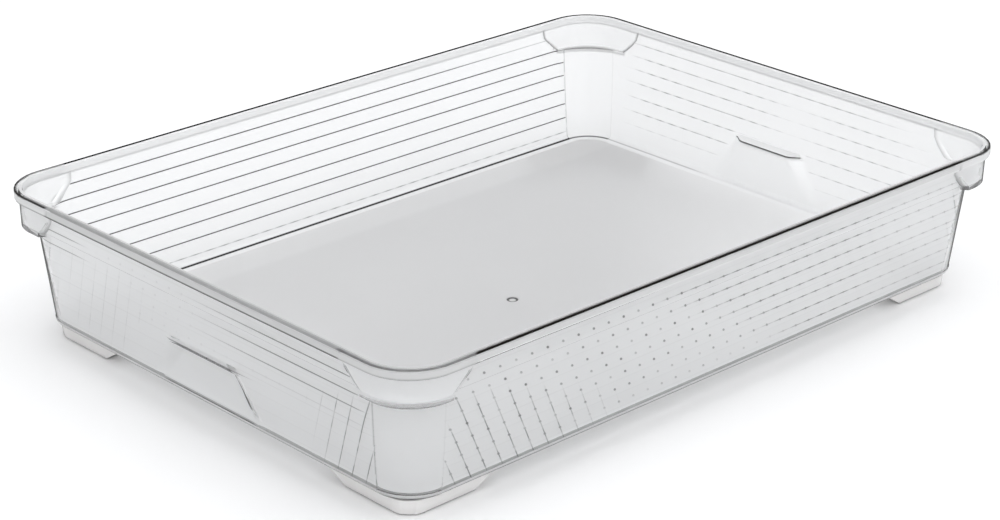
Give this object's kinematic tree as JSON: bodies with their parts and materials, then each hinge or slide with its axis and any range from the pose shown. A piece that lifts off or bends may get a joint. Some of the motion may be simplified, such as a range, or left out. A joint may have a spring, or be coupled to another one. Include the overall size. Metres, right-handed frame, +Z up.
{
  "type": "fridge bin",
  "caption": "Shallow clear rectangular storage tray with drafted walls, stepped corner seats, a finger grip low in each short end and raised corner feet.",
  "frame": {"origin": "middle of the footprint, on the plane the feet stand on", "axes": "+Z up, +Y along the long side, the front short end faces -Y, +X to the right seen from the front"},
  "size_m": [0.2746, 0.37, 0.0711],
  "materials": {
    "clear_plastic": "clear, glossy, injection-moulded",
    "foot_plastic": "clear with a faint warm tone, softly glossy"
  },
  "bodies": {
    "root": {"bin_tub": "clear_plastic", "foot_front_left": "foot_plastic", "foot_front_right": "foot_plastic", "foot_rear_left": "foot_plastic", "foot_rear_right": "foot_plastic"}
  },
  "joints": []
}
